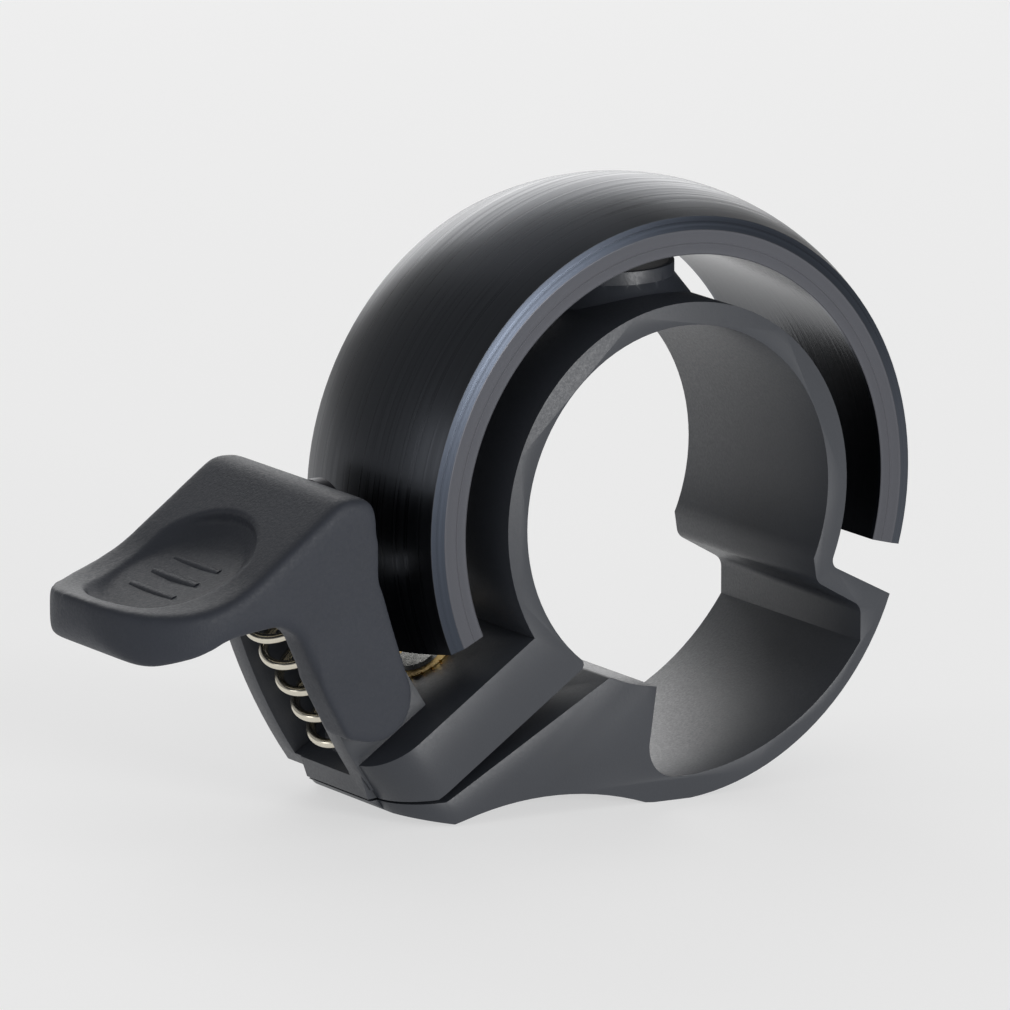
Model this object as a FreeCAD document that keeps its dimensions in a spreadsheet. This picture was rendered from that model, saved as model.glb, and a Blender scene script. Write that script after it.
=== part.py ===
"""Band-shaped bicycle bell: a turned aluminium band on a moulded clamp for a handlebar.

Frame: the handlebar's axis is Y, +Z is up, the thumb lever is at -X, and the origin is the
middle of the handlebar's bore. Sizes are in millimetres and angles in degrees.
"""
import FreeCAD, Part
import os
import re

import Sketcher

SIZES = {
    # clamp ring, for a 22.2 mm handlebar
    "bore_r": 11.1,
    "ring_wall": 1.4,
    "body_wide": 14.6,
    # clamp tab, which falls away from the bore towards the lever
    "tab_slope": 32.3,
    "tab_thick": 3.9,
    "tab_reach": 25.3,
    "tab_under_z": -15.8,
    "end_round_near": 3.0,
    "end_round_far": 5.0,
    "corner_round": 0.4,
    # slit between the tab and the jaw, closed to a hairline under the tab's end
    "slit_lower_angle": 243.1,
    "slit_tip_reach": 23.1,
    "seam_gap": 0.12,
    "tongue_drop": 0.75,
    # neck: the ring steps outwards on the far side and carries the strap
    "neck_angle": -25.0,
    "throat_x": 10.3,
    "throat_z": -6.2,
    "neck_round": 0.9,
    "fin_x": 15.83,
    "fin_z": -7.7,
    # strap and jaw under the handlebar
    "strap_out_r": 16.6,
    "strap_in_r": 15.9,
    "strap_thick": 1.3,
    "foot_x": -2.4,
    "foot_z": -18.1,
    "heel_x": -16.3,
    "heel_z": -17.35,
    "under_r": 22.5,
    "recess_wall_angle": 261.7,
    "recess_x": -2.45,
    "recess_round": 2.1,
    # spring housing, with the lever's leg down its near side
    "snout_wide": 9.0,
    "snout_top_x": -25.9,
    "snout_top_z": -3.2,
    "snout_curve_r": 36.0,
    "snout_foot_reach": 19.6,
    "snout_back_tall": 7.6,
    "well_wide": 6.0,
    # return spring
    "spring_reach": 23.0,
    "spring_sink": 1.0,
    "spring_mean_r": 1.9,
    "spring_wire_r": 0.3,
    "spring_pitch": 2.2,
    "spring_long": 12.4,
    "spring_clear": 0.25,
    "peg_r": 1.35,
    "peg_long": 1.2,
    # bell band
    "bell_in_r": 15.33,
    "bell_flat_r": 16.79,
    "bell_edge_r": 17.63,
    "bell_crown_r": 18.97,
    "bell_wide": 13.9,
    "bell_chamfer": 0.31,
    "bell_right_angle": -16.0,
    "bell_left_angle": 203.5,
    # post, cushion and screw that hold the bell
    "post_r": 3.9,
    "post_flare": 1.0,
    "post_top_z": 13.9,
    "cushion_r": 3.6,
    "bell_screw_r": 1.25,
    "bell_head_r": 2.25,
    "bell_head_tall": 1.0,
    "bell_head_sink": 0.25,
    "bell_hex": 1.5,
    "bell_hex_deep": 0.6,
    "bell_washer_thick": 0.3,
    "bell_tap_deep": 2.6,
    "bell_screw_in": 2.3,
    # clamp screw
    "clamp_reach": 16.4,
    "clamp_screw_r": 1.5,
    "clamp_head_r": 2.5,
    "clamp_head_tall": 1.7,
    "clamp_hex": 2.0,
    "clamp_hex_deep": 1.0,
    "clamp_seat": 6.2,
    "clamp_tip_proud": 0.3,
    "clamp_washer_thick": 0.4,
    "screw_edge": 0.2,
    "insert_r": 2.15,
    "insert_proud": 0.12,
    "knurl_count": 20,
    "knurl_deep": 0.15,
    # thumb lever
    "lever_wide": 14.6,
    "cheek_gap": 0.25,
    "pivot_x": -21.9,
    "pivot_z": -8.9,
    "leg_r": 2.58,
    "crest_x": -24.2,
    "crest_z": 3.65,
    "brow_x": -21.7,
    "brow_z": 3.6,
    "slope_x": -30.2,
    "slope_z": -0.45,
    "dish_r": 10.0,
    "tip_x": -38.6,
    "tip_z": -1.5,
    "chin_x": -36.6,
    "chin_z": -5.3,
    "lip_z": -2.7,
    "chin_r": 2.8,
    "belly_x": -34.0,
    "belly_z": -4.65,
    "nose_r": 6.6,
    "nose_end_r": 9.0,
    "pad_back_x": -32.0,
    "pad_back_z": -3.75,
    "arch_top_x": -28.6,
    "arch_top_z": -3.45,
    "arch_mid_x": -27.3,
    "arch_mid_z": -4.3,
    "arch_low_x": -26.7,
    "arch_low_z": -5.65,
    "shin_x": -25.3,
    "shin_z": -8.6,
    "far_skirt_z": -3.6,
    "dish_x": -31.6,
    "dish_z": -0.9,
    "dish_lean": 19.0,
    "dish_in_r": 5.3,
    "dish_deep": 0.7,
    "roof_thick": 1.5,
    "brow_round": 1.3,
    # pivot pin, pressed into the housing and running in the lever's leg
    "pin_r": 1.0,
    "pin_in_snout": 1.3,
    "pin_in_cheek": 1.6,
    "pin_end_gap": 0.1,
    # striker
    "web_thick": 1.8,
    "web_foot_z": -2.0,
    "striker_z": 0.95,
    "striker_r": 2.2,
    "striker_side": 0.85,
    "striker_nose": 1.9,
    "striker_neck_r": 1.3,
    "striker_neck_long": 1.6,
    # fits
    "run_clear": 0.04,
    "hole_clear": 0.2,
}

DOC = FreeCAD.newDocument("band_bell")
SHEET = DOC.addObject("Spreadsheet::Sheet", "dims")
SCRATCH_CELL = "C1"
for row, (alias, number) in enumerate(SIZES.items(), start=1):
    SHEET.set("A%d" % row, alias)
    SHEET.set("B%d" % row, str(number))
    SHEET.setAlias("B%d" % row, alias)
DOC.recompute()


def bound(formula):
    """The formula as an expression, with every alias read from the sheet."""
    return re.sub(r"[a-z_]+", lambda word: ("dims." if word[0] in SIZES else "") + word[0], formula)


def value(formula):
    """The number that a formula in the sheet's aliases comes to."""
    SHEET.set(SCRATCH_CELL, "=" + formula)
    SHEET.recompute()
    number = float(SHEET.get(SCRATCH_CELL))
    SHEET.clear(SCRATCH_CELL)
    return number


def new_body(name):
    body = DOC.addObject("PartDesign::Body", name)
    body.Label = name
    return body


def new_sketch(body, name, role="XZ_Plane", origin=None, turn=None):
    """A sketch on one of the body's own planes. An XZ one can be moved to origin, whose third
    value is its distance towards -Y, and turned within its plane; an XY one can be tipped up
    towards -X."""
    plane = next(item for item in body.Origin.OriginFeatures if item.Role == role)
    sketch = body.newObject("Sketcher::SketchObject", name)
    sketch.AttachmentSupport = [(plane, "")]
    sketch.MapMode = "FlatFace"
    for axis, formula in zip("xyz", origin or ()):
        sketch.setExpression("AttachmentOffset.Base." + axis, bound(formula))
    if turn:
        axis = FreeCAD.Vector(0, 0, 1) if role == "XZ_Plane" else FreeCAD.Vector(0, -1, 0)
        sketch.AttachmentOffset = FreeCAD.Placement(
            FreeCAD.Vector(), FreeCAD.Rotation(axis, value(turn)))
        sketch.setExpression("AttachmentOffset.Rotation.Angle", bound(turn))
    return sketch


def bind(sketch, constraint, formula):
    """Add one dimension to a sketch and tie it to the sheet."""
    index = sketch.addConstraint(constraint)
    sketch.setExpression("Constraints[%d]" % index, bound(formula))


def arc_between(start, end, radius, turn):
    """The arc from start to end that bends "ccw" or "cw", less than half a turn round
    unless the turn's name ends in _long."""
    chord = end - start
    reach = (radius ** 2 - (chord.Length / 2) ** 2) ** 0.5
    left = FreeCAD.Vector(-chord.y, chord.x, 0).normalize()
    side = 1 if turn in ("ccw", "cw_long") else -1
    centre = (start + end) / 2 + left * reach * side
    circle = Part.Circle(centre, FreeCAD.Vector(0, 0, 1), radius)
    if turn.startswith("ccw"):
        return Part.ArcOfCircle(circle, circle.parameter(start), circle.parameter(end)), 1, 2
    return Part.ArcOfCircle(circle, circle.parameter(end), circle.parameter(start)), 2, 1


def draw(sketch, corners):
    """A closed outline. A corner is (x, y) or, where an arc leaves it, (x, y, turn, radius)."""
    places = [FreeCAD.Vector(value(corner[0]), value(corner[1]), 0) for corner in corners]
    ends = []
    for index, corner in enumerate(corners):
        start = places[index]
        end = places[(index + 1) % len(corners)]
        if len(corner) == 2:
            edge = sketch.addGeometry(Part.LineSegment(start, end), False)
            ends.append((edge, 1, 2))
        else:
            curve, first, last = arc_between(start, end, value(corner[3]), corner[2])
            edge = sketch.addGeometry(curve, False)
            bind(sketch, Sketcher.Constraint("Radius", edge, value(corner[3])), corner[3])
            ends.append((edge, first, last))
    for index, corner in enumerate(corners):
        edge, first, _ = ends[index]
        before, _, last = ends[index - 1]
        sketch.addConstraint(Sketcher.Constraint("Coincident", before, last, edge, first))
        place = places[index]
        bind(sketch, Sketcher.Constraint("DistanceX", -1, 1, edge, first, place.x), corner[0])
        bind(sketch, Sketcher.Constraint("DistanceY", -1, 1, edge, first, place.y), corner[1])
    return sketch


def draw_circle(sketch, x, y, radius):
    centre = FreeCAD.Vector(value(x), value(y), 0)
    edge = sketch.addGeometry(Part.Circle(centre, FreeCAD.Vector(0, 0, 1), value(radius)), False)
    bind(sketch, Sketcher.Constraint("DistanceX", -1, 1, edge, 3, centre.x), x)
    bind(sketch, Sketcher.Constraint("DistanceY", -1, 1, edge, 3, centre.y), y)
    bind(sketch, Sketcher.Constraint("Radius", edge, value(radius)), radius)
    return sketch


def both_ways(body, kind, sketch, width):
    """Pad or pocket a sketch half its width to each side of its plane."""
    feature = body.newObject("PartDesign::" + kind, sketch.Name + "_" + kind.lower())
    feature.Profile = sketch
    feature.Midplane = True
    feature.setExpression("Length", bound(width))
    sketch.Visibility = False
    DOC.recompute()
    return feature


def turned(body, kind, sketch, axis="V_Axis"):
    """Revolve or groove a sketch all the way round one of its axes."""
    feature = body.newObject("PartDesign::" + kind, sketch.Name + "_turned")
    feature.Profile = sketch
    feature.ReferenceAxis = (sketch, [axis])
    feature.Angle = 360
    sketch.Visibility = False
    DOC.recompute()
    return feature


def rounded(body, name, radius, wanted):
    """Fillet the edges of the body's last feature that wanted(edge) picks."""
    base = body.Tip
    edges = ["Edge%d" % (index + 1) for index, edge in enumerate(base.Shape.Edges) if wanted(edge)]
    if not edges:
        raise RuntimeError("no edge to round for " + name)
    fillet = body.newObject("PartDesign::Fillet", name)
    fillet.Base = (base, edges)
    fillet.setExpression("Radius", bound(radius))
    DOC.recompute()
    return fillet


def across_at(x, z):
    """Picks edges that run along Y through the point (x, z)."""
    place_x = value(x)
    place_z = value(z)

    def wanted(edge):
        first = edge.Vertexes[0].Point
        last = edge.Vertexes[-1].Point
        along_y = abs(first.x - last.x) < 0.01 and abs(first.z - last.z) < 0.01
        return along_y and abs(first.x - place_x) < 0.05 and abs(first.z - place_z) < 0.05
    return wanted


def round_plan_corners(body, name, end_x, half_wide, near_radius, far_radius):
    """Round the two corners at the tab's end, as seen square to the tab."""
    for label, side, bend, radius in (("near", "-1", "cw", near_radius), ("far", "1", "ccw", far_radius)):
        sketch = draw(new_sketch(body, "%s_%s_corner" % (name, label), "XY_Plane", turn="tab_slope"), [
            ("%s + %s" % (end_x, radius), "%s*(%s)" % (side, half_wide), bend, radius),
            (end_x, "%s*(%s - %s)" % (side, half_wide, radius)),
            (end_x + " - 1", "%s*(%s - %s)" % (side, half_wide, radius)),
            (end_x + " - 1", "%s*(%s + 1)" % (side, half_wide)),
            ("%s + %s" % (end_x, radius), "%s*(%s + 1)" % (side, half_wide)),
        ])
        both_ways(body, "Pocket", sketch, "body_wide*4")


def polar(radius, angle):
    return "(%s)*cos(%s)" % (radius, angle), "(%s)*sin(%s)" % (radius, angle)


def on_tab(reach, height):
    """A point by its reach down the tab's slope from the bore's middle and its height above
    the tab's top face."""
    x = "-(%s)*cos(tab_slope) - (%s)*sin(tab_slope)" % (reach, height)
    z = "-(%s)*sin(tab_slope) + (%s)*cos(tab_slope)" % (reach, height)
    return x, z


RING_R = "bore_r + ring_wall"
TAB_ROOT_ANGLE = "180 + tab_slope"
SLIT_UPPER_ANGLE = "180 + tab_slope + asin(tab_thick/bore_r)/(1 deg)"
SPRING_FOOT = on_tab("spring_reach", "-spring_sink")
TAB_END_X = "-tab_reach*cos(tab_slope)"


def make_bracket():
    """The moulded clamp: ring, tab, neck, strap, jaw, bell post and spring housing."""
    body = new_body("clamp_bracket")
    tip = on_tab("slit_tip_reach", "-tab_thick")
    corner = (TAB_END_X + " + 0.8", "tab_under_z")
    jaw_end = ("recess_x", "foot_z + strap_thick")
    throat = ("throat_x", "throat_z")
    crook = ("fin_x - strap_thick*1.7", "fin_z - strap_thick*0.35")
    outline = [
        ("fin_x", "fin_z"),
        polar(RING_R, "neck_angle") + ("ccw_long", RING_R),
        polar(RING_R, TAB_ROOT_ANGLE),
        on_tab("tab_reach", "0"),
        corner,
        tip,
        polar("bore_r", SLIT_UPPER_ANGLE) + ("cw_long", "bore_r"),
        polar("bore_r", "neck_angle"),
        throat,
        crook,
        ("fin_x - strap_thick*1.7", "fin_z - strap_thick*2.05", "cw", "strap_in_r"),
        ("foot_x + 3.1", "foot_z + strap_thick*0.95"),
        jaw_end,
        polar("bore_r", "recess_wall_angle") + ("cw", "bore_r"),
        polar("bore_r", "slit_lower_angle"),
        (tip[0] + " + 0.5", tip[1] + " - seam_gap - 0.1"),
        (corner[0] + " + 0.1", corner[1] + " - seam_gap"),
        (corner[0] + " + 1.3", corner[1] + " - seam_gap - tongue_drop"),
        ("heel_x", "heel_z", "cw", "under_r"),
        ("foot_x", "foot_z", "ccw", "strap_out_r"),
    ]
    both_ways(body, "Pad", draw(new_sketch(body, "clamp_outline"), outline), "body_wide")

    rounded(body, "throat_round", "neck_round", across_at(*throat))
    rounded(body, "crook_round", "neck_round", across_at(*crook))
    rounded(body, "shoulder_round", "corner_round*1.5", across_at(*polar(RING_R, "neck_angle")))
    rounded(body, "recess_corner_round", "recess_round", across_at(*jaw_end))
    rounded(body, "slit_mouth_round", "corner_round", across_at(*polar("bore_r", SLIT_UPPER_ANGLE)))
    rounded(body, "jaw_mouth_round", "corner_round", across_at(*polar("bore_r", "slit_lower_angle")))
    round_plan_corners(body, "tab_end", "-tab_reach", "body_wide/2",
                       "end_round_near", "end_round_far")

    post = draw(new_sketch(body, "post_outline"), [
        ("0", "bore_r + ring_wall*0.4"),
        ("post_r + post_flare", "bore_r + ring_wall*0.4"),
        ("post_r + post_flare", "bore_r + ring_wall*0.5"),
        ("post_r", "bore_r + ring_wall + post_flare*0.6"),
        ("post_r", "post_top_z"),
        ("0", "post_top_z"),
    ])
    turned(body, "Revolution", post)

    foot = on_tab("snout_foot_reach", "-0.5")
    back_top = on_tab("snout_foot_reach", "snout_back_tall")
    snout = draw(new_sketch(body, "snout_outline"), [
        foot,
        back_top,
        ("snout_top_x + 1.2", "snout_top_z + 0.1"),
        ("snout_top_x", "snout_top_z", "ccw", "snout_curve_r"),
        (corner[0] + " + 0.1", corner[1] + " + 0.6"),
        (corner[0] + " + 1.5", corner[1] + " + 0.6"),
    ])
    both_ways(body, "Pad", snout, "snout_wide")

    well = draw(new_sketch(body, "well_outline", "XZ_Plane", SPRING_FOOT, "tab_slope"), [
        ("-spring_mean_r*4", "0"),
        ("spring_mean_r + spring_wire_r + spring_clear", "0"),
        ("spring_mean_r + spring_wire_r + spring_clear", "spring_long*1.5"),
        ("-spring_mean_r*4", "spring_long*1.5"),
    ])
    both_ways(body, "Pocket", well, "well_wide")
    peg = draw(new_sketch(body, "peg_outline", "XZ_Plane", SPRING_FOOT, "tab_slope"), [
        ("0", "-peg_long*0.3"),
        ("peg_r", "-peg_long*0.3"),
        ("peg_r", "peg_long*0.7"),
        ("peg_r - 0.3", "peg_long"),
        ("0", "peg_long"),
    ])
    turned(body, "Revolution", peg)
    near_face = ("0", "0", "snout_wide/2")
    pin_hole = draw_circle(new_sketch(body, "pin_hole", "XZ_Plane", near_face),
                           "pivot_x", "pivot_z", "pin_r")
    both_ways(body, "Pocket", pin_hole, "pin_in_snout*2")

    screw_hole = draw(new_sketch(body, "bell_screw_hole"), [
        ("0", "bore_r*0.9"),
        ("bell_head_r + hole_clear", "bore_r*0.9"),
        ("bell_head_r + hole_clear", "bore_r + bell_head_sink + bell_head_tall + bell_washer_thick"),
        ("bell_screw_r + hole_clear", "bore_r + bell_head_sink + bell_head_tall + bell_washer_thick"),
        ("bell_screw_r + hole_clear", "post_top_z + 1"),
        ("0", "post_top_z + 1"),
    ])
    turned(body, "Groove", screw_hole)
    clamp_hole = draw(new_sketch(body, "clamp_screw_hole", "XZ_Plane", on_tab("clamp_reach", "0"),
                                 "tab_slope"), [
        ("0", "1"),
        ("insert_r", "1"),
        ("insert_r", "-tab_thick - 0.5"),
        ("clamp_screw_r + hole_clear", "-tab_thick - 0.5"),
        ("clamp_screw_r + hole_clear", "-clamp_seat"),
        ("clamp_head_r + hole_clear", "-clamp_seat"),
        ("clamp_head_r + hole_clear", "-clamp_seat*2.2"),
        ("0", "-clamp_seat*2.2"),
    ])
    turned(body, "Groove", clamp_hole)
    return body


def make_bell():
    """The turned aluminium band, open underneath, with a blind tapped hole in its crown."""
    body = new_body("bell_band")
    edge_y = "bell_wide/2 - bell_chamfer"
    rise = "(bell_crown_r - bell_edge_r)"
    dome_r = "((%s)^2 + %s^2)/(2*%s)" % (edge_y, rise, rise)
    section = draw(new_sketch(body, "bell_section", "XY_Plane"), [
        ("bell_in_r", "-bell_wide/2"),
        ("bell_flat_r", "-bell_wide/2"),
        ("bell_edge_r", "-(%s)" % edge_y, "ccw", dome_r),
        ("bell_edge_r", edge_y),
        ("bell_flat_r", "bell_wide/2"),
        ("bell_in_r", "bell_wide/2"),
    ])
    turned(body, "Revolution", section)
    cut_r = "bell_crown_r*1.8"
    mouth = draw(new_sketch(body, "bell_mouth"), [
        ("0", "0"),
        polar(cut_r, "bell_left_angle"),
        ("0", "-" + cut_r),
        polar(cut_r, "bell_right_angle"),
    ])
    both_ways(body, "Pocket", mouth, "bell_wide*2")
    tapped = draw(new_sketch(body, "bell_tapped_hole"), [
        ("0", "bell_in_r*0.9"),
        ("bell_screw_r + run_clear", "bell_in_r*0.9"),
        ("bell_screw_r + run_clear", "bell_in_r + bell_tap_deep"),
        ("0", "bell_in_r + bell_tap_deep + bell_screw_r*0.5"),
    ])
    turned(body, "Groove", tapped)
    return body


def cylinder(name, radius, height, base=("0", "0", "0"), tip=None):
    """A Part cylinder; tip is "Y" for one that lies along +Y."""
    piece = DOC.addObject("Part::Cylinder", name)
    piece.setExpression("Radius", bound(radius))
    piece.setExpression("Height", bound(height))
    if tip == "Y":
        piece.Placement.Rotation = FreeCAD.Rotation(FreeCAD.Vector(1, 0, 0), -90)
    for axis, formula in zip("xyz", base):
        piece.setExpression("Placement.Base." + axis, bound(formula))
    piece.Visibility = False
    return piece


def make_cushion():
    """The rubber cushion between the post and the bell, hollowed to the bell's inner curve."""
    blank = cylinder("cushion_blank", "cushion_r", "bell_in_r - post_top_z", ("0", "0", "post_top_z"))
    curve = cylinder("cushion_curve", "bell_in_r", "bell_wide", ("0", "-bell_wide/2", "0"), "Y")
    hole = cylinder("cushion_hole", "bell_screw_r + hole_clear", "bell_in_r*2")
    shaped = DOC.addObject("Part::Common", "cushion_shaped")
    shaped.Base = blank
    shaped.Tool = curve
    cushion = DOC.addObject("Part::Cut", "bell_cushion")
    cushion.Base = shaped
    cushion.Tool = hole
    cushion.Label = "bell_cushion"
    return cushion


def set_down(body, place, lean):
    """Stand a body's own Z axis on place, a point (x, z), leaning by an angle towards -X."""
    body.Placement.Rotation = FreeCAD.Rotation(FreeCAD.Vector(0, -1, 0), 1)
    body.setExpression("Placement.Base.x", bound(place[0]))
    body.setExpression("Placement.Base.z", bound(place[1]))
    body.setExpression("Placement.Rotation.Angle", bound(lean))


def make_screw(name, place, lean, radius, head_r, head_tall, head_end, tip_end, hex_wide, hex_deep):
    """A screw with its head down and a hexagonal socket in the head's end face."""
    body = new_body(name)
    profile = draw(new_sketch(body, name + "_section"), [
        ("0", head_end),
        (head_r + " - screw_edge", head_end),
        (head_r, head_end + " + screw_edge"),
        (head_r, "%s + %s" % (head_end, head_tall)),
        (radius, "%s + %s" % (head_end, head_tall)),
        (radius, tip_end + " - screw_edge"),
        (radius + " - screw_edge", tip_end),
        ("0", tip_end),
    ])
    turned(body, "Revolution", profile)
    socket = new_sketch(body, name + "_socket", "XY_Plane")
    corner_r = hex_wide + "/sqrt(3)"
    socket.setExpression("AttachmentOffset.Base.z", bound(head_end))
    draw(socket, [polar(corner_r, str(angle)) for angle in range(0, 360, 60)])
    both_ways(body, "Pocket", socket, "2*" + hex_deep)
    set_down(body, place, lean)
    return body


def make_ring(name, place, lean, inner, outer, low, high):
    """A washer or insert from low to high on its own axis."""
    body = new_body(name)
    section = draw(new_sketch(body, name + "_section"), [
        (inner, low),
        (outer, low),
        (outer, high),
        (inner, high),
    ])
    turned(body, "Revolution", section)
    set_down(body, place, lean)
    return body


def add_knurl(body, outer, low, high):
    """Cut V-shaped grooves along a ring's outside."""
    count = value("knurl_count")
    half_step = "180/knurl_count*0.8"
    groove = new_sketch(body, body.Label + "_knurl", "XY_Plane")
    draw(groove, [
        (outer + " - knurl_deep", "0"),
        (outer + "*1.1", "-(%s)*sin(%s)" % (outer, half_step)),
        (outer + "*1.1", "(%s)*sin(%s)" % (outer, half_step)),
    ])
    cut = both_ways(body, "Pocket", groove, "4*(%s - (%s))" % (high, low))
    pattern = body.newObject("PartDesign::PolarPattern", body.Label + "_knurls")
    pattern.Originals = [cut]
    pattern.Axis = (groove, ["N_Axis"])
    pattern.Angle = 360
    pattern.Occurrences = int(count)
    pattern.setExpression("Occurrences", bound("knurl_count"))
    body.Tip = pattern
    DOC.recompute()
    return body


def make_spring():
    """The return spring, an open coil between the housing's floor and the lever's boss."""
    body = new_body("return_spring")
    section = draw_circle(new_sketch(body, "wire_section", "XZ_Plane", SPRING_FOOT,
                                     "tab_slope"), "spring_mean_r", "spring_wire_r + 0.02",
                          "spring_wire_r")
    coil = body.newObject("PartDesign::AdditiveHelix", "coil")
    coil.Profile = section
    coil.ReferenceAxis = (section, ["V_Axis"])
    coil.Mode = "pitch-height-angle"
    coil.setExpression("Pitch", bound("spring_pitch"))
    coil.setExpression("Height", bound("spring_long - 2*spring_wire_r - 0.04"))
    section.Visibility = False
    DOC.recompute()
    return body


def make_lever():
    """The moulded thumb lever: dished pad, one leg down the near side of the spring housing, and
    the web that carries the striker."""
    body = new_body("thumb_lever")
    cheek_in = "snout_wide + 2*cheek_gap"
    outline = draw(new_sketch(body, "lever_outline"), [
        ("crest_x", "crest_z"),
        ("slope_x", "slope_z", "cw", "dish_r"),
        ("tip_x", "tip_z"),
        ("tip_x", "lip_z", "ccw", "chin_r"),
        ("chin_x", "chin_z"),
        ("belly_x", "belly_z"),
        ("pad_back_x", "pad_back_z"),
        ("arch_top_x", "arch_top_z"),
        ("arch_mid_x", "arch_mid_z"),
        ("arch_low_x", "arch_low_z"),
        ("shin_x", "shin_z"),
        ("pivot_x - 2.05", "pivot_z - leg_r*0.82"),
        ("pivot_x - leg_r*0.3", "pivot_z - leg_r*sqrt(0.91)", "ccw", "leg_r"),
        ("pivot_x + leg_r*sqrt(0.96)", "pivot_z + leg_r*0.2"),
        ("brow_x + 1.27", "pivot_z + 3.56"),
        ("brow_x + 0.4", "striker_z - striker_r*1.6"),
        ("brow_x", "striker_z - striker_r*1.1"),
        ("brow_x", "brow_z"),
    ])
    both_ways(body, "Pad", outline, "lever_wide")
    rounded(body, "crest_round", "brow_round", across_at("crest_x", "crest_z"))
    rounded(body, "brow_corner_round", "brow_round", across_at("brow_x", "brow_z"))

    bulge = "(nose_end_r - sqrt(nose_end_r^2 - (lever_wide/2 - nose_r)^2))"
    nose = draw(new_sketch(body, "pad_plan", "XY_Plane"), [
        ("tip_x + %s + nose_r" % bulge, "-lever_wide/2 - 2"),
        ("tip_x + %s + nose_r" % bulge, "-lever_wide/2", "cw", "nose_r"),
        ("tip_x + " + bulge, "nose_r - lever_wide/2", "cw", "nose_end_r"),
        ("tip_x + " + bulge, "lever_wide/2 - nose_r", "cw", "nose_r"),
        ("tip_x + %s + nose_r" % bulge, "lever_wide/2"),
        ("tip_x + %s + nose_r" % bulge, "lever_wide/2 + 2"),
        ("tip_x - 2", "lever_wide/2 + 2"),
        ("tip_x - 2", "-lever_wide/2 - 2"),
    ])
    both_ways(body, "Pocket", nose, "lever_wide*4")

    dish = draw(new_sketch(body, "thumb_dish", "XZ_Plane", ("dish_x", "dish_z"), "dish_lean"), [
        ("0", "-dish_deep"),
        ("dish_in_r*0.8", "-dish_deep*0.75"),
        ("dish_in_r", "dish_deep*0.3"),
        ("dish_in_r + 0.3", "dish_deep*6"),
        ("0", "dish_deep*6"),
    ])
    turned(body, "Groove", dish)

    hollow = draw(new_sketch(body, "lever_hollow"), [
        ("brow_x - web_thick", "web_foot_z"),
        ("brow_x - web_thick", "crest_z - roof_thick*1.6"),
        ("crest_x - 0.8", "crest_z - roof_thick*1.6"),
        ("slope_x + 0.3", "slope_z - roof_thick*1.4"),
        ("slope_x - 4", "slope_z - roof_thick*1.95"),
        ("chin_x + 1.4", "chin_z + 2.2"),
        ("chin_x + 1.4", "pivot_z - leg_r*2"),
        ("brow_x + 6", "pivot_z - leg_r*2"),
        ("brow_x + 6", "web_foot_z"),
    ])
    both_ways(body, "Pocket", hollow, cheek_in)

    far_side = draw(new_sketch(body, "open_far_side", "XZ_Plane", ("0", "0", "-lever_wide/2")), [
        ("pivot_x - leg_r*3", "far_skirt_z"),
        ("pivot_x - leg_r*3", "pivot_z - leg_r*2"),
        ("pivot_x + leg_r*3", "pivot_z - leg_r*2"),
        ("pivot_x + leg_r*3", "far_skirt_z"),
    ])
    both_ways(body, "Pocket", far_side, "lever_wide")

    boss = draw(new_sketch(body, "boss_outline", "XZ_Plane", SPRING_FOOT, "tab_slope"), [
        ("0", "spring_long - peg_long"),
        ("peg_r - 0.3", "spring_long - peg_long"),
        ("peg_r", "spring_long - peg_long*0.7"),
        ("peg_r", "spring_long + 0.05"),
        ("spring_mean_r + spring_wire_r", "spring_long + 0.05"),
        ("spring_mean_r + spring_wire_r", "spring_long + 3.4"),
        ("0", "spring_long + 3.4"),
    ])
    turned(body, "Revolution", boss)
    leg_face = ("0", "0", "snout_wide/2 + cheek_gap")
    hole = draw_circle(new_sketch(body, "leg_pin_hole", "XZ_Plane", leg_face),
                       "pivot_x", "pivot_z", "pin_r + run_clear")
    both_ways(body, "Pocket", hole, "pin_in_cheek*2")
    neck = draw(new_sketch(body, "striker_hole", "XZ_Plane", ("brow_x", "striker_z")), [
        ("1", "0"),
        ("1", "striker_neck_r"),
        ("-striker_neck_long", "striker_neck_r"),
        ("-striker_neck_long", "0"),
    ])
    turned(body, "Groove", neck, "H_Axis")
    return body


def make_striker():
    """The ball-nosed striker, its neck pressed into the lever's web."""
    body = new_body("striker")
    dome = "(striker_nose - striker_side)"
    section = draw(new_sketch(body, "striker_section", "XZ_Plane", ("brow_x", "striker_z")), [
        ("-striker_neck_long", "0"),
        ("-striker_neck_long", "striker_neck_r"),
        ("0", "striker_neck_r"),
        ("0", "striker_r"),
        ("striker_side", "striker_r", "cw", "(striker_r^2 + %s^2)/(2*%s)" % (dome, dome)),
        ("striker_nose", "0"),
    ])
    turned(body, "Revolution", section, "H_Axis")
    return body


def make_pin():
    """The pivot pin, pressed into the spring housing's near wall; the lever's leg turns on it."""
    return cylinder("pivot_pin", "pin_r", "pin_in_snout + cheek_gap + pin_in_cheek - pin_end_gap",
                    ("pivot_x", "-snout_wide/2 - cheek_gap - pin_in_cheek + pin_end_gap", "pivot_z"), "Y")


CLAMP_PLACE = on_tab("clamp_reach", "0")
MIDDLE = ("0", "0")
BELL_HEAD_END = "(bore_r + bell_head_sink)"
BELL_WASHER_LOW = "(bore_r + bell_head_sink + bell_head_tall)"
CLAMP_HEAD_END = "(-clamp_seat - clamp_washer_thick - clamp_head_tall)"

INSERT_ENDS = ("-tab_thick", "insert_proud")

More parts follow.
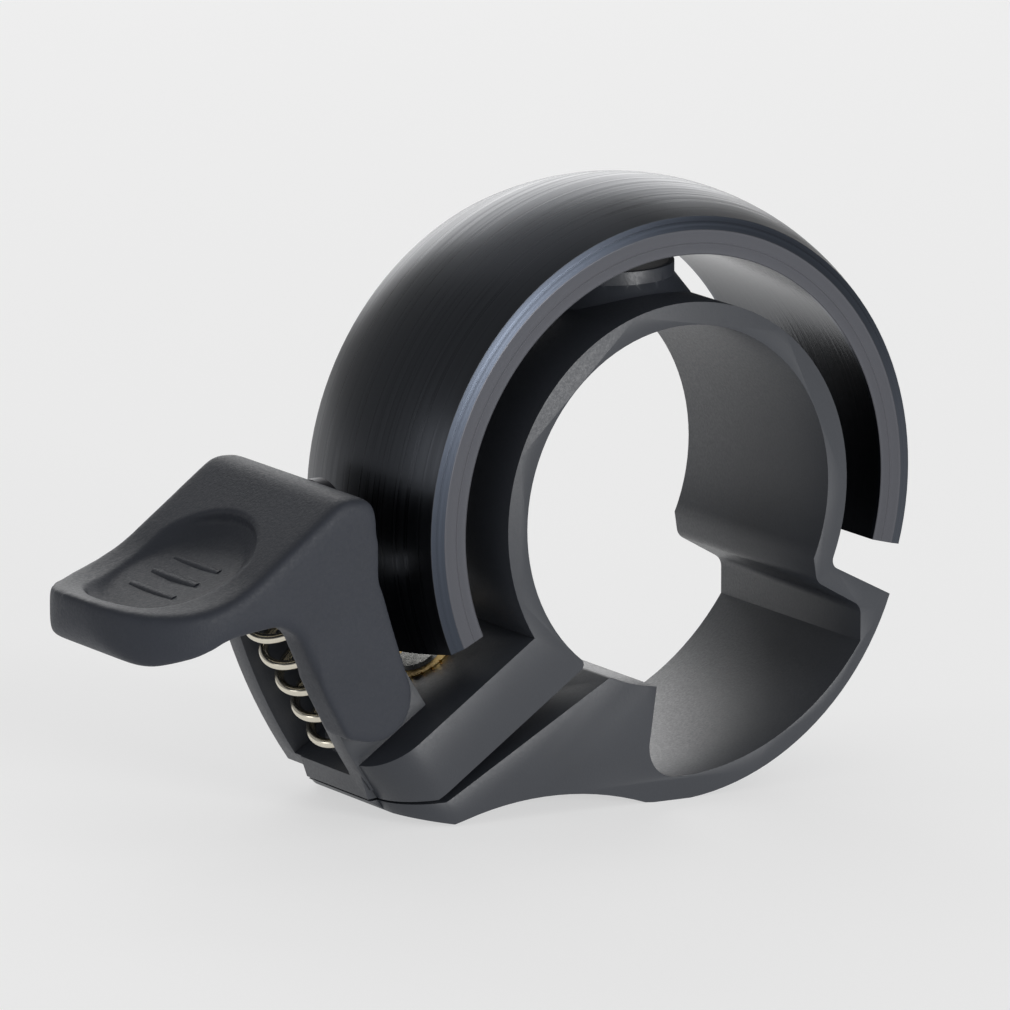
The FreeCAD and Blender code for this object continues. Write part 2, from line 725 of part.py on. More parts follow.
NODES = [
    make_bracket(),
    make_bell(),
    make_cushion(),
    make_screw("bell_screw", MIDDLE, "0", "bell_screw_r", "bell_head_r", "bell_head_tall",
               BELL_HEAD_END, "(bell_in_r + bell_screw_in)", "bell_hex", "bell_hex_deep"),
    make_ring("bell_washer", MIDDLE, "0", "bell_screw_r + run_clear", "bell_head_r",
              BELL_WASHER_LOW, BELL_WASHER_LOW + " + bell_washer_thick"),
    make_screw("clamp_screw", CLAMP_PLACE, "tab_slope", "clamp_screw_r", "clamp_head_r",
               "clamp_head_tall", CLAMP_HEAD_END, "clamp_tip_proud", "clamp_hex", "clamp_hex_deep"),
    make_ring("clamp_washer", CLAMP_PLACE, "tab_slope", "clamp_screw_r + run_clear", "clamp_head_r",
              "-clamp_seat - clamp_washer_thick", "-clamp_seat"),
    add_knurl(make_ring("clamp_insert", CLAMP_PLACE, "tab_slope", "clamp_screw_r + run_clear",
                        "insert_r", *INSERT_ENDS), "insert_r", *INSERT_ENDS),
    make_spring(),
    make_lever(),
    make_striker(),
    make_pin(),
]

DOC.recompute()
for item in DOC.Objects:
    if "Invalid" in item.State or "Error" in item.State:
        raise RuntimeError("%s failed: %s" % (item.Name, item.State))
for node in NODES:
    if node.Shape.isNull() or not node.Shape.isValid():
        raise RuntimeError(node.Label + " has no valid shape")
os.makedirs("parts", exist_ok=True)
for node in NODES:
    node.Shape.exportStep("parts/%s.step" % node.Label)
    print(node.Label, len(node.Shape.Solids), "solid(s)", round(node.Shape.Volume, 2), "mm3")
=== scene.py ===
"""Looks of a band-shaped bicycle bell: mouldings, turned aluminium, coil spring and studio."""
import math

import bmesh
import bpy
from bpy.props import FloatProperty, FloatVectorProperty, IntProperty, PointerProperty
from mathutils import Matrix, Vector
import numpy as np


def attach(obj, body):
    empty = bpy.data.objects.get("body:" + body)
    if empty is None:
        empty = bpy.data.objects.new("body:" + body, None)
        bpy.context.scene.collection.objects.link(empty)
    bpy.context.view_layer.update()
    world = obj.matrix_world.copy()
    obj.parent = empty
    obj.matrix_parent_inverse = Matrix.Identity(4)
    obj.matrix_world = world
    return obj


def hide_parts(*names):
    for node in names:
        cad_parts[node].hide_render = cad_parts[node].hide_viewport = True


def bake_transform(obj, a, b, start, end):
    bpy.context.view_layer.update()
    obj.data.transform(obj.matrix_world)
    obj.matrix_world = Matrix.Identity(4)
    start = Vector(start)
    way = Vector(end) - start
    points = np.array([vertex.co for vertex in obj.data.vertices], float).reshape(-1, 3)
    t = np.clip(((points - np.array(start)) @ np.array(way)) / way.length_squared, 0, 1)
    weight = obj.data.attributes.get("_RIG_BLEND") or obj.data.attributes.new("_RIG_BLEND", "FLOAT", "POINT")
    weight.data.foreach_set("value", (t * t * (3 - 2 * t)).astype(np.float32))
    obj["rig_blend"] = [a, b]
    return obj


bl_info = {
    "name": "Band bicycle bell",
    "version": (1, 0, 0),
    "blender": (4, 5, 0),
    "location": "3D View > Sidebar > Bell",
    "description": "Dresses a handlebar bell with its mouldings, spring, metals and studio",
    "category": "Object",
}

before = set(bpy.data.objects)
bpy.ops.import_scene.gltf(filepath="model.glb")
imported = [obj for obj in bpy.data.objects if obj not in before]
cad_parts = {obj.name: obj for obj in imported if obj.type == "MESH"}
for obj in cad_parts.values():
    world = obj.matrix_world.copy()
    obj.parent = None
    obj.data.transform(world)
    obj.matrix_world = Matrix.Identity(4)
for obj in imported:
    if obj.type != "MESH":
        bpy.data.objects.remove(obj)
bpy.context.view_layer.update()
MM = 0.001

# The spring's line, from its foot on the clamp's tab to the boss under the lever's roof.
TAB_SLOPE = math.radians(32.3)
SPRING_FOOT = Vector((-18.91, 0, -13.14)) * MM
SPRING_AXIS = Vector((-math.sin(TAB_SLOPE), 0, math.cos(TAB_SLOPE)))
# The pad's dish, where its grip ribs stand.
DISH_MIDDLE = Vector((-31.6, 0, -0.9)) * MM
DISH_LEAN = math.radians(19)
DISH_DEEP = 0.7 * MM
DISH_REACH = 5.8 * MM
DISH_FLOOR_Z = -2.9 * MM
# The pad ends and the leg begins here, seen from the side, and the crest stands above it.
PAD_END_X = -26.0 * MM
CREST_LOW_Z = 1.0 * MM

# The part of a noise pattern's range where most of its values lie.
NOISE_LOW = 0.3
NOISE_HIGH = 0.7
CLOUD_SIZE = 4 * MM
TOOL_BAND = 0.4 * MM
MOTTLE_SIZE = 0.5 * MM
NYLON_IOR = 1.53
RUBBER_IOR = 1.52
# How far a colour's edge stands off the surface it follows, so that it never flickers.
EDGE_SLACK = 0.00001
WALL_SLACK = 0.00006
WELD_GAP = 0.002 * MM
# Faces that meet at less than this are one flat face of the clamp moulding, and edges that
# turn by more are bevelled or shown sharp.
FLAT_ANGLE = math.radians(0.5)
BEVEL_ANGLE = math.radians(38)
SHARP_ANGLE = math.radians(32)
COIL_STEPS = 48
ROUND_STEPS = 16
SPRING_SEAT_GAP = 0.02 * MM

# The floor lies against the strap's underside and the jaw's lower corner, within 0.2 mm.
FLOOR_POINT = Vector((-1.0, 0, -18.22)) * MM
FLOOR_LEAN = math.atan2(0.75, 15.3)
FLOOR_REACH = 3.0
STUDIO_AIM = Vector((-0.008, 0, 0))
CAMERA_PLACE = (-0.390541, -0.554689, 0.164450)
CAMERA_AZIMUTH = math.radians(34.6135)
CAMERA_HEIGHT = math.radians(13.739)
CAMERA_LENS = 410.1


def linear(hex_colour):
    """A linear RGBA colour from an sRGB hex value."""
    channels = [int(hex_colour[i:i + 2], 16) / 255 for i in (1, 3, 5)]
    return tuple(c / 12.92 if c <= 0.04045 else ((c + 0.055) / 1.055) ** 2.4
                 for c in channels) + (1,)


def scaled(colour, factor):
    """A colour lightened or darkened, with its alpha at 1."""
    return tuple(min(1, channel * factor) for channel in colour[:3]) + (1,)


def add_node(tree, kind, settings=None, inputs=None):
    """Add a node, set its attributes, and fill or link its inputs by name or number."""
    node = tree.nodes.new(kind)
    for name, setting in (settings or {}).items():
        setattr(node, name, setting)
    for name, source in (inputs or {}).items():
        if isinstance(source, bpy.types.NodeSocket):
            tree.links.new(source, node.inputs[name])
        else:
            node.inputs[name].default_value = source
    return node


def new_material(name):
    material = bpy.data.materials.new(name)
    material.use_nodes = True
    material.node_tree.nodes.clear()
    return material, material.node_tree


def close_material(tree, shader):
    add_node(tree, "ShaderNodeOutputMaterial", None, {"Surface": shader.outputs[0]})


def moulded_nylon(name, hex_colour, roughness, sheen, grain_mm, grain_height_mm):
    """Glass-filled nylon, injection moulded in a spark-eroded tool: a dull skin whose fine
    pits break up the highlight, with faint cloudiness where the glass fibres lie."""
    material, tree = new_material(name)
    place = add_node(tree, "ShaderNodeTexCoord")
    grain = add_node(tree, "ShaderNodeTexNoise", None, {
        "Vector": place.outputs["Object"], "Scale": 1 / (grain_mm * MM), "Detail": 3.0,
        "Roughness": 0.6})
    clouds = add_node(tree, "ShaderNodeTexNoise", None, {
        "Vector": place.outputs["Object"], "Scale": 1 / CLOUD_SIZE, "Detail": 2.0})
    dark = linear(hex_colour)
    colour = add_node(tree, "ShaderNodeMix", {"data_type": "RGBA"}, {
        0: clouds.outputs[0], 6: dark, 7: scaled(dark, 1.25)})
    rough = add_node(tree, "ShaderNodeMapRange", None, {
        "Value": grain.outputs[0], 1: NOISE_LOW, 2: NOISE_HIGH,
        3: roughness - 0.06, 4: roughness + 0.08})
    bump = add_node(tree, "ShaderNodeBump", None, {
        "Strength": 0.6, "Distance": grain_height_mm * MM, "Height": grain.outputs[0]})
    shader = add_node(tree, "ShaderNodeBsdfPrincipled", None, {
        "Base Color": colour.outputs[2], "Roughness": rough.outputs[0], "IOR": NYLON_IOR,
        "Specular IOR Level": sheen, "Normal": bump.outputs[0]})
    close_material(tree, shader)
    return material


def turned_aluminium(name, skin_hex, chamfer_highlight_hex, end_face_light_hex, sizes):
    """Aluminium turned on a lathe, then black anodised: hair-fine rings run round the axis, so
    the highlight spreads across them. The chamfers get a lighter, bluer black as a painted highlight,
    and the end faces a lighter grey as painted light."""
    material, tree = new_material(name)
    place = add_node(tree, "ShaderNodeTexCoord")
    axes = add_node(tree, "ShaderNodeSeparateXYZ", None, {0: place.outputs["Object"]})
    across = add_node(tree, "ShaderNodeMath", {"operation": "ABSOLUTE"}, {0: axes.outputs["Y"]})
    flat = add_node(tree, "ShaderNodeCombineXYZ", None, {
        "X": axes.outputs["X"], "Y": axes.outputs["Z"]})
    radius = add_node(tree, "ShaderNodeVectorMath", {"operation": "LENGTH"}, {0: flat.outputs[0]})
    path = add_node(tree, "ShaderNodeMath", {"operation": "ADD"}, {
        0: axes.outputs["Y"], 1: radius.outputs["Value"]})
    # The tool's marks come in bands, about 0.4 mm across with finer ones inside them.
    rings = add_node(tree, "ShaderNodeTexNoise", {"noise_dimensions": "1D"}, {
        "W": path.outputs[0], "Scale": 1 / TOOL_BAND, "Detail": 4.0, "Roughness": 0.8})
    on_rim = add_node(tree, "ShaderNodeMath", {"operation": "GREATER_THAN"}, {
        0: across.outputs[0], 1: sizes.bell_half_width - sizes.bell_chamfer + EDGE_SLACK})
    on_face = add_node(tree, "ShaderNodeMath", {"operation": "GREATER_THAN"}, {
        0: across.outputs[0], 1: sizes.bell_half_width - 2 * EDGE_SLACK})
    dark = linear(skin_hex)
    skin = add_node(tree, "ShaderNodeMix", {"data_type": "RGBA"}, {
        0: rings.outputs[0], 6: dark, 7: scaled(dark, 1.35)})
    # Painted highlight: the chamfer at each rim gets a lighter, bluer black than the skin.
    rim = add_node(tree, "ShaderNodeMix", {"data_type": "RGBA"}, {
        0: on_rim.outputs[0], 6: skin.outputs[2], 7: linear(chamfer_highlight_hex)})
    # Painted light: the band's end faces get a lighter grey than the skin.
    face = add_node(tree, "ShaderNodeMix", {"data_type": "RGBA"}, {
        0: on_face.outputs[0], 6: rim.outputs[2], 7: linear(end_face_light_hex)})
    outside = add_node(tree, "ShaderNodeMath", {"operation": "GREATER_THAN"}, {
        0: radius.outputs["Value"], 1: sizes.bell_inner_radius + WALL_SLACK})
    turned = add_node(tree, "ShaderNodeMapRange", None, {
        "Value": rings.outputs[0], 1: NOISE_LOW, 2: NOISE_HIGH, 3: 0.24, 4: 0.44})
    # The inside is burnished, so it mirrors the ring and the post.
    rough = add_node(tree, "ShaderNodeMix", None, {
        0: outside.outputs[0], 2: 0.13, 3: turned.outputs[0]})
    bump = add_node(tree, "ShaderNodeBump", None, {
        "Strength": 0.6, "Distance": 0.01 * MM, "Height": rings.outputs[0]})
    shader = add_node(tree, "ShaderNodeBsdfPrincipled", None, {
        "Base Color": face.outputs[2], "Metallic": 1.0, "Roughness": rough.outputs[0],
        "Normal": bump.outputs[0]})
    close_material(tree, shader)
    return material


def metal(name, hex_colour, roughness, scratch_mm):
    """A bare metal part with the faint unevenness that drawing, heading or tumbling leaves."""
    material, tree = new_material(name)
    place = add_node(tree, "ShaderNodeTexCoord")
    marks = add_node(tree, "ShaderNodeTexNoise", None, {
        "Vector": place.outputs["Object"], "Scale": 1 / (scratch_mm * MM), "Detail": 4.0})
    rough = add_node(tree, "ShaderNodeMapRange", None, {
        "Value": marks.outputs[0], 1: NOISE_LOW, 2: NOISE_HIGH,
        3: roughness - 0.03, 4: roughness + 0.05})
    base = linear(hex_colour)
    colour = add_node(tree, "ShaderNodeMix", {"data_type": "RGBA"}, {
        0: marks.outputs[0], 6: base, 7: scaled(base, 0.93)})
    shader = add_node(tree, "ShaderNodeBsdfPrincipled", None, {
        "Base Color": colour.outputs[2], "Metallic": 1.0, "Roughness": rough.outputs[0]})
    close_material(tree, shader)
    return material


def dull_rubber(name, hex_colour):
    """Moulded nitrile rubber: almost no highlight and a slightly mottled black."""
    material, tree = new_material(name)
    place = add_node(tree, "ShaderNodeTexCoord")
    mottle = add_node(tree, "ShaderNodeTexNoise", None, {
        "Vector": place.outputs["Object"], "Scale": 1 / MOTTLE_SIZE, "Detail": 2.0})
    base = linear(hex_colour)
    colour = add_node(tree, "ShaderNodeMix", {"data_type": "RGBA"}, {
        0: mottle.outputs[0], 6: base, 7: scaled(base, 1.3)})
    shader = add_node(tree, "ShaderNodeBsdfPrincipled", None, {
        "Base Color": colour.outputs[2], "Roughness": 0.8, "IOR": RUBBER_IOR})
    close_material(tree, shader)
    return material


def dress(node, material):
    """Give a CAD node one material."""
    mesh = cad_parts[node].data
    mesh.materials.clear()
    mesh.materials.append(material)


def merged_copy(node, name):
    """A closed copy of a CAD node's mesh, its loose triangles joined up."""
    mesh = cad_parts[node].data.copy()
    mesh.name = name
    work = bmesh.new()
    work.from_mesh(mesh)
    bmesh.ops.remove_doubles(work, verts=work.verts, dist=WELD_GAP)
    work.to_mesh(mesh)
    work.free()
    for attribute in [a.name for a in mesh.attributes if a.name.startswith("custom_normal")]:
        mesh.attributes.remove(mesh.attributes[attribute])
    piece = bpy.data.objects.new(name, mesh)
    bpy.context.scene.collection.objects.link(piece)
    return piece


def settle(piece):
    """Turn a piece's modifiers into plain mesh."""
    graph = bpy.context.evaluated_depsgraph_get()
    mesh = bpy.data.meshes.new_from_object(piece.evaluated_get(graph))
    piece.modifiers.clear()
    piece.data = mesh
    mesh.name = piece.name
    return piece


def give_material(piece, material):
    piece.data.materials.clear()
    piece.data.materials.append(material)
    for polygon in piece.data.polygons:
        polygon.material_index = 0


def stand_in(piece, node, body):
    """Show a piece in a CAD node's place, riding its body."""
    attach(piece, body)
    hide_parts(node)


class BellSizes(bpy.types.PropertyGroup):
    bell_half_width: FloatProperty(
        name="Bell half width", description="From the middle of the band to its face",
        default=0.00695, unit="LENGTH")
    bell_chamfer: FloatProperty(
        name="Bell chamfer", description="Width of the chamfer at each rim",
        default=0.00031, unit="LENGTH")
    bell_inner_radius: FloatProperty(
        name="Bell inner radius", description="From the axis to the inside of the band",
        default=0.01533, unit="LENGTH")
    edge_bevel: FloatProperty(
        name="Clamp edge", description="Width of the worn-soft edges on the clamp moulding",
        default=0.00016, unit="LENGTH")
    lever_voxel: FloatProperty(
        name="Lever fineness", description="Size of the lever's mesh cells",
        default=0.00014, unit="LENGTH")
    lever_softness: IntProperty(
        name="Lever edge softness", description="Smoothing passes that round the lever's edges",
        default=120, min=0, max=300)
    leg_share: FloatProperty(
        name="Leg edge share", description="How much of that rounding the leg gets", default=0.3)
    dish_share: FloatProperty(
        name="Dish edge share", description="How much of that rounding the dish's rim gets",
        default=0.1)


class SpringSizes(bpy.types.PropertyGroup):
    mean_radius: FloatProperty(
        name="Mean radius", description="From the spring's axis to the middle of its wire",
        default=0.0019, unit="LENGTH")
    wire_radius: FloatProperty(
        name="Wire radius", description="Half the wire's thickness", default=0.0003, unit="LENGTH")
    length: FloatProperty(
        name="Length", description="Length at rest", default=0.0124, unit="LENGTH")
    turns: FloatProperty(name="Turns", description="Number of coils", default=5.6)


class GripSizes(bpy.types.PropertyGroup):
    count: IntProperty(name="Ribs", description="Number of grip ribs in the dish", default=3, min=1)
    spacing: FloatProperty(
        name="Spacing", description="Distance between ribs", default=0.0017, unit="LENGTH")
    length: FloatProperty(
        name="Length", description="Length of a rib", default=0.0046, unit="LENGTH")
    radius: FloatProperty(
        name="Radius", description="Radius of a rib's rounded top", default=0.0004, unit="LENGTH")
    height: FloatProperty(
        name="Height", description="How far a rib stands up", default=0.0002, unit="LENGTH")


class FinishColours(bpy.types.PropertyGroup):
    floor: FloatVectorProperty(
        name="Floor", description="Colour of the floor", subtype="COLOR",
        default=(0.42, 0.42, 0.42))
    table_glow: FloatProperty(
        name="Table glow", description="Light that comes up through the floor", default=0.56)
    daylight: FloatProperty(
        name="Room light", description="Strength of the even light all round", default=0.34)


class BELL_OT_clamp(bpy.types.Operator):
    """Make the black nylon clamp moulding with softened edges"""
    bl_idname = "bell.clamp"
    bl_label = "Clamp moulding"

    def execute(self, context):
        sizes = context.scene.bell_sizes
        piece = merged_copy("clamp_bracket", "clamp_moulding")
        work = bmesh.new()
        work.from_mesh(piece.data)
        bmesh.ops.dissolve_limit(
            work, angle_limit=FLAT_ANGLE, verts=work.verts, edges=work.edges)
        work.to_mesh(piece.data)
        work.free()
        bevel = piece.modifiers.new("soft_edges", "BEVEL")
        bevel.width = sizes.edge_bevel
        bevel.segments = 2
        bevel.limit_method = "ANGLE"
        bevel.angle_limit = BEVEL_ANGLE
        bevel.use_clamp_overlap = True
        settle(piece)
        piece.data.shade_smooth()
        piece.data.set_sharp_from_angle(angle=SHARP_ANGLE)
        give_material(piece, moulded_nylon(
            "black_moulded_nylon", "#2b2e34", 0.42, 0.5, 0.16, 0.012))
        stand_in(piece, "clamp_bracket", "clamp")
        return {"FINISHED"}


class BELL_OT_lever(bpy.types.Operator):
    """Make the charcoal nylon thumb lever with its rounded edges"""
    bl_idname = "bell.lever"
    bl_label = "Thumb lever"

    def execute(self, context):
        sizes = context.scene.bell_sizes
        piece = merged_copy("thumb_lever", "lever_moulding")
        remesh = piece.modifiers.new("even_cells", "REMESH")
        remesh.mode = "VOXEL"
        remesh.voxel_size = sizes.lever_voxel
        settle(piece)
        pad = piece.vertex_groups.new(name="rounding")
        for vertex in piece.data.vertices:
            place = vertex.co
            from_dish = (place - DISH_MIDDLE).length
            share = 1.0 if place.x < PAD_END_X or place.z > CREST_LOW_Z else sizes.leg_share
            if from_dish < DISH_REACH and place.z > DISH_FLOOR_Z:
                share = sizes.dish_share
            pad.add([vertex.index], share, "REPLACE")
        soften = piece.modifiers.new("rounded_edges", "SMOOTH")
        soften.factor = 0.5
        soften.iterations = sizes.lever_softness
        soften.vertex_group = "rounding"
        settle(piece)
        piece.data.shade_smooth()
        give_material(piece, moulded_nylon(
            "charcoal_moulded_nylon", "#2b2e35", 0.55, 0.25, 0.2, 0.035))
        stand_in(piece, "thumb_lever", "lever")
        return {"FINISHED"}


class BELL_OT_grip(bpy.types.Operator):
    """Stand plain grip ribs in the pad's dish"""
    bl_idname = "bell.grip"
    bl_label = "Grip ribs"

    def execute(self, context):
        grip = context.scene.bell_grip
        tree = bpy.data.node_groups.new("grip_ribs", "GeometryNodeTree")
        tree.interface.new_socket("Geometry", in_out="OUTPUT", socket_type="NodeSocketGeometry")
        names = {}
        for name, kind in (("Count", "NodeSocketInt"), ("Spacing", "NodeSocketFloat"),
                           ("Length", "NodeSocketFloat"), ("Radius", "NodeSocketFloat")):
            names[name] = tree.interface.new_socket(
                name, in_out="INPUT", socket_type=kind).identifier
        given = add_node(tree, "NodeGroupInput")
        step = add_node(tree, "ShaderNodeCombineXYZ", None, {"X": given.outputs["Spacing"]})
        row = add_node(tree, "GeometryNodeMeshLine", None, {
            "Count": given.outputs["Count"], "Offset": step.outputs[0]})
        half = add_node(tree, "ShaderNodeMath", {"operation": "MULTIPLY"}, {
            0: given.outputs["Length"], 1: 0.5})
        back = add_node(tree, "ShaderNodeMath", {"operation": "MULTIPLY"}, {
            0: given.outputs["Length"], 1: -0.5})
        start = add_node(tree, "ShaderNodeCombineXYZ", None, {"Y": back.outputs[0]})
        end = add_node(tree, "ShaderNodeCombineXYZ", None, {"Y": half.outputs[0]})
        line = add_node(tree, "GeometryNodeCurvePrimitiveLine", None, {
            "Start": start.outputs[0], "End": end.outputs[0]})
        round_bar = add_node(tree, "GeometryNodeCurvePrimitiveCircle", None, {
            "Resolution": ROUND_STEPS, "Radius": given.outputs["Radius"]})
        bar = add_node(tree, "GeometryNodeCurveToMesh", None, {
            "Curve": line.outputs[0], "Profile Curve": round_bar.outputs[0], "Fill Caps": True})
        bars = add_node(tree, "GeometryNodeInstanceOnPoints", None, {
            "Points": row.outputs[0], "Instance": bar.outputs[0]})
        real = add_node(tree, "GeometryNodeRealizeInstances", None, {0: bars.outputs[0]})
        skin = bpy.data.materials["charcoal_moulded_nylon"]
        finished = add_node(tree, "GeometryNodeSetMaterial", None, {
            0: real.outputs[0], "Material": skin})
        add_node(tree, "NodeGroupOutput", None, {0: finished.outputs[0]})
        holder = bpy.data.objects.new("grip_ribs", bpy.data.meshes.new("grip_ribs"))
        context.scene.collection.objects.link(holder)
        maker = holder.modifiers.new("ribs", "NODES")
        maker.node_group = tree
        maker[names["Count"]] = grip.count
        maker[names["Spacing"]] = grip.spacing
        maker[names["Length"]] = grip.length
        maker[names["Radius"]] = grip.radius
        settle(holder)
        width = grip.spacing * (grip.count - 1)
        down = DISH_DEEP + grip.radius - grip.height
        stand = Matrix.Translation(DISH_MIDDLE) @ Matrix.Rotation(-DISH_LEAN, 4, "Y")
        holder.data.transform(stand @ Matrix.Translation((-width / 2, 0, -down)))
        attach(holder, "lever")
        return {"FINISHED"}


class BELL_OT_spring(bpy.types.Operator):
    """Wind the stainless return spring, which shortens as the lever goes down"""
    bl_idname = "bell.spring"
    bl_label = "Return spring"

    def execute(self, context):
        spring = context.scene.bell_spring
        tree = bpy.data.node_groups.new("coil_spring", "GeometryNodeTree")
        tree.interface.new_socket("Geometry", in_out="OUTPUT", socket_type="NodeSocketGeometry")
        names = {}
        for name in ("Mean radius", "Wire radius", "Length", "Turns"):
            names[name] = tree.interface.new_socket(
                name, in_out="INPUT", socket_type="NodeSocketFloat").identifier
        given = add_node(tree, "NodeGroupInput")
        coil = add_node(tree, "GeometryNodeCurveSpiral", None, {
            "Resolution": COIL_STEPS, "Rotations": given.outputs["Turns"],
            "Start Radius": given.outputs["Mean radius"],
            "End Radius": given.outputs["Mean radius"],
            "Height": given.outputs["Length"]})
        wire = add_node(tree, "GeometryNodeCurvePrimitiveCircle", None, {
            "Resolution": ROUND_STEPS, "Radius": given.outputs["Wire radius"]})
        solid = add_node(tree, "GeometryNodeCurveToMesh", None, {
            "Curve": coil.outputs[0], "Profile Curve": wire.outputs[0], "Fill Caps": True})
        smooth = add_node(tree, "GeometryNodeSetShadeSmooth", None, {0: solid.outputs[0]})
        real = add_node(tree, "GeometryNodeRealizeInstances", None, {0: smooth.outputs[0]})
        steel = metal("drawn_spring_steel", "#dcd6c6", 0.2, 0.3)
        finished = add_node(tree, "GeometryNodeSetMaterial", None, {
            0: real.outputs[0], "Material": steel})
        add_node(tree, "NodeGroupOutput", None, {0: finished.outputs[0]})
        piece = bpy.data.objects.new("coil_spring", bpy.data.meshes.new("coil_spring"))
        context.scene.collection.objects.link(piece)
        maker = piece.modifiers.new("winding", "NODES")
        maker.node_group = tree
        maker[names["Mean radius"]] = spring.mean_radius
        maker[names["Wire radius"]] = spring.wire_radius
        maker[names["Length"]] = spring.length - 2 * spring.wire_radius
        maker[names["Turns"]] = spring.turns
        settle(piece)
        lift = Matrix.Translation((0, 0, spring.wire_radius + SPRING_SEAT_GAP))
        stand = Matrix.Translation(SPRING_FOOT) @ Matrix.Rotation(-TAB_SLOPE, 4, "Y")
        piece.data.transform(stand @ lift)
        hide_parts("return_spring")
        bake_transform(piece, "clamp", "lever", start=SPRING_FOOT,
                 end=SPRING_FOOT + SPRING_AXIS * spring.length)
        return {"FINISHED"}


class BELL_OT_metals(bpy.types.Operator):
    """Give the turned band, the fasteners, the pin and the cushion their finishes"""
    bl_idname = "bell.metals"
    bl_label = "Metals and rubber"

    def execute(self, context):
        sizes = context.scene.bell_sizes
        # The band's second colour is a painted highlight on the chamfers and its third is painted light on
        # the end faces.
        dress("bell_band", turned_aluminium("black_anodised_turned_aluminium", "#34363a", "#41464f",
                                            "#56575c", sizes))
        stainless = metal("headed_stainless_steel", "#cfcfcb", 0.25, 0.4)
        for node in ("bell_screw", "bell_washer", "clamp_screw", "clamp_washer", "pivot_pin"):
            dress(node, stainless)
        dress("clamp_insert", metal("knurled_brass", "#d8b878", 0.3, 0.3))
        dress("striker", metal("blackened_turned_steel", "#2c2c30", 0.42, 0.4))
        dress("bell_cushion", dull_rubber("black_nitrile_rubber", "#1a1a1b"))
        return {"FINISHED"}


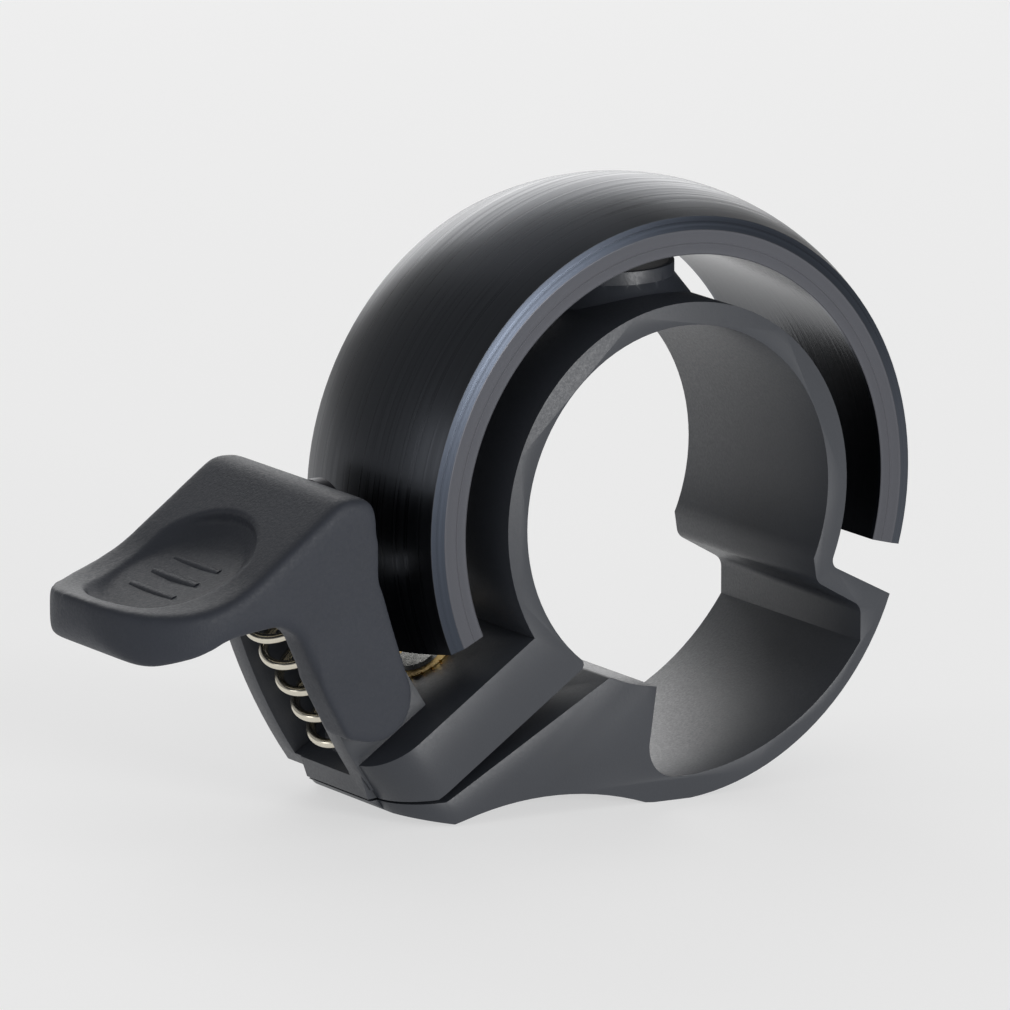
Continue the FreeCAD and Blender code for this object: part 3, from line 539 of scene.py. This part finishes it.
class BELL_OT_studio(bpy.types.Operator):
    """Set the pale floor, the soft lights and the camera"""
    bl_idname = "bell.studio"
    bl_label = "Studio"

    def execute(self, context):
        colours = context.scene.bell_colours
        mesh = bpy.data.meshes.new("floor")
        corners = [(x * FLOOR_REACH, y * FLOOR_REACH, 0)
                   for x, y in ((-1, -1), (1, -1), (1, 1), (-1, 1))]
        mesh.from_pydata(corners, [], [(0, 1, 2, 3)])
        mesh.transform(Matrix.Translation(FLOOR_POINT) @ Matrix.Rotation(FLOOR_LEAN, 4, "Y"))
        floor = bpy.data.objects.new("floor", mesh)
        context.scene.collection.objects.link(floor)
        material, tree = new_material("pale_paper")
        # Matt sheet on a light table: no highlight, and a glow from below that thins the shadow.
        shader = add_node(tree, "ShaderNodeBsdfPrincipled", None, {
            "Base Color": tuple(colours.floor) + (1,), "Roughness": 1.0, "Specular IOR Level": 0.0,
            "Emission Color": (1, 1, 1, 1), "Emission Strength": colours.table_glow})
        close_material(tree, shader)
        mesh.materials.append(material)
        world = bpy.data.worlds.new("studio")
        context.scene.world = world
        world.use_nodes = True
        sky = world.node_tree
        sky.nodes.clear()
        glow = add_node(sky, "ShaderNodeBackground", None, {
            "Color": (1, 1, 1, 1), "Strength": colours.daylight})
        add_node(sky, "ShaderNodeOutputWorld", None, {"Surface": glow.outputs[0]})
        # Each lamp's name, place, side in metres and power in watts.
        lamps = (
            ("top_softbox", (0.05, 0.35, 0.5), 0.4, 0.25),
            ("left_softbox", (-0.6, 0.1, 0.15), 0.2, 0.25),
            ("front_softbox", (0.15, -0.75, 0.08), 0.35, 4.2),
            ("back_softbox", (0.4, 0.75, 0.3), 0.6, 2.8),
        )
        for name, place, size, power in lamps:
            light = bpy.data.lights.new(name, "AREA")
            light.shape = "SQUARE"
            light.size = size
            light.energy = power
            lamp = bpy.data.objects.new(name, light)
            aim = (STUDIO_AIM - Vector(place)).to_track_quat("-Z", "Y")
            lamp.matrix_world = Matrix.Translation(place) @ aim.to_matrix().to_4x4()
            context.scene.collection.objects.link(lamp)
        camera = bpy.data.cameras.new("camera")
        camera.sensor_width = 36
        camera.lens = CAMERA_LENS
        camera.clip_start = 0.05
        camera.clip_end = 20
        eye = bpy.data.objects.new("camera", camera)
        turn = (Matrix.Rotation(-CAMERA_AZIMUTH, 4, "Z")
                @ Matrix.Rotation(math.pi / 2 - CAMERA_HEIGHT, 4, "X"))
        eye.matrix_world = Matrix.Translation(CAMERA_PLACE) @ turn
        context.scene.collection.objects.link(eye)
        context.scene.camera = eye
        context.scene.view_settings.view_transform = "Standard"
        return {"FINISHED"}


class BELL_PT_panel(bpy.types.Panel):
    bl_label = "Band bell"
    bl_idname = "BELL_PT_panel"
    bl_space_type = "VIEW_3D"
    bl_region_type = "UI"
    bl_category = "Bell"

    def draw(self, context):
        for group in (context.scene.bell_sizes, context.scene.bell_spring, context.scene.bell_grip,
                      context.scene.bell_colours):
            for name in group.bl_rna.properties.keys():
                if name not in ("rna_type", "name"):
                    self.layout.prop(group, name)
        for operator in OPERATORS:
            self.layout.operator(operator.bl_idname)


OPERATORS = (BELL_OT_clamp, BELL_OT_lever, BELL_OT_grip, BELL_OT_spring, BELL_OT_metals,
             BELL_OT_studio)
GROUPS = {"bell_sizes": BellSizes, "bell_spring": SpringSizes, "bell_grip": GripSizes,
          "bell_colours": FinishColours}


def register():
    for group in GROUPS.values():
        bpy.utils.register_class(group)
    for operator in OPERATORS:
        bpy.utils.register_class(operator)
    bpy.utils.register_class(BELL_PT_panel)
    for name, group in GROUPS.items():
        setattr(bpy.types.Scene, name, PointerProperty(type=group))


def unregister():
    for name in GROUPS:
        delattr(bpy.types.Scene, name)
    bpy.utils.unregister_class(BELL_PT_panel)
    for operator in reversed(OPERATORS):
        bpy.utils.unregister_class(operator)
    for group in reversed(list(GROUPS.values())):
        bpy.utils.unregister_class(group)


def main():
    register()
    bpy.ops.bell.clamp()
    bpy.ops.bell.lever()
    bpy.ops.bell.grip()
    bpy.ops.bell.spring()
    bpy.ops.bell.metals()
    bpy.ops.bell.studio()


if __name__ == "__main__":
    main()
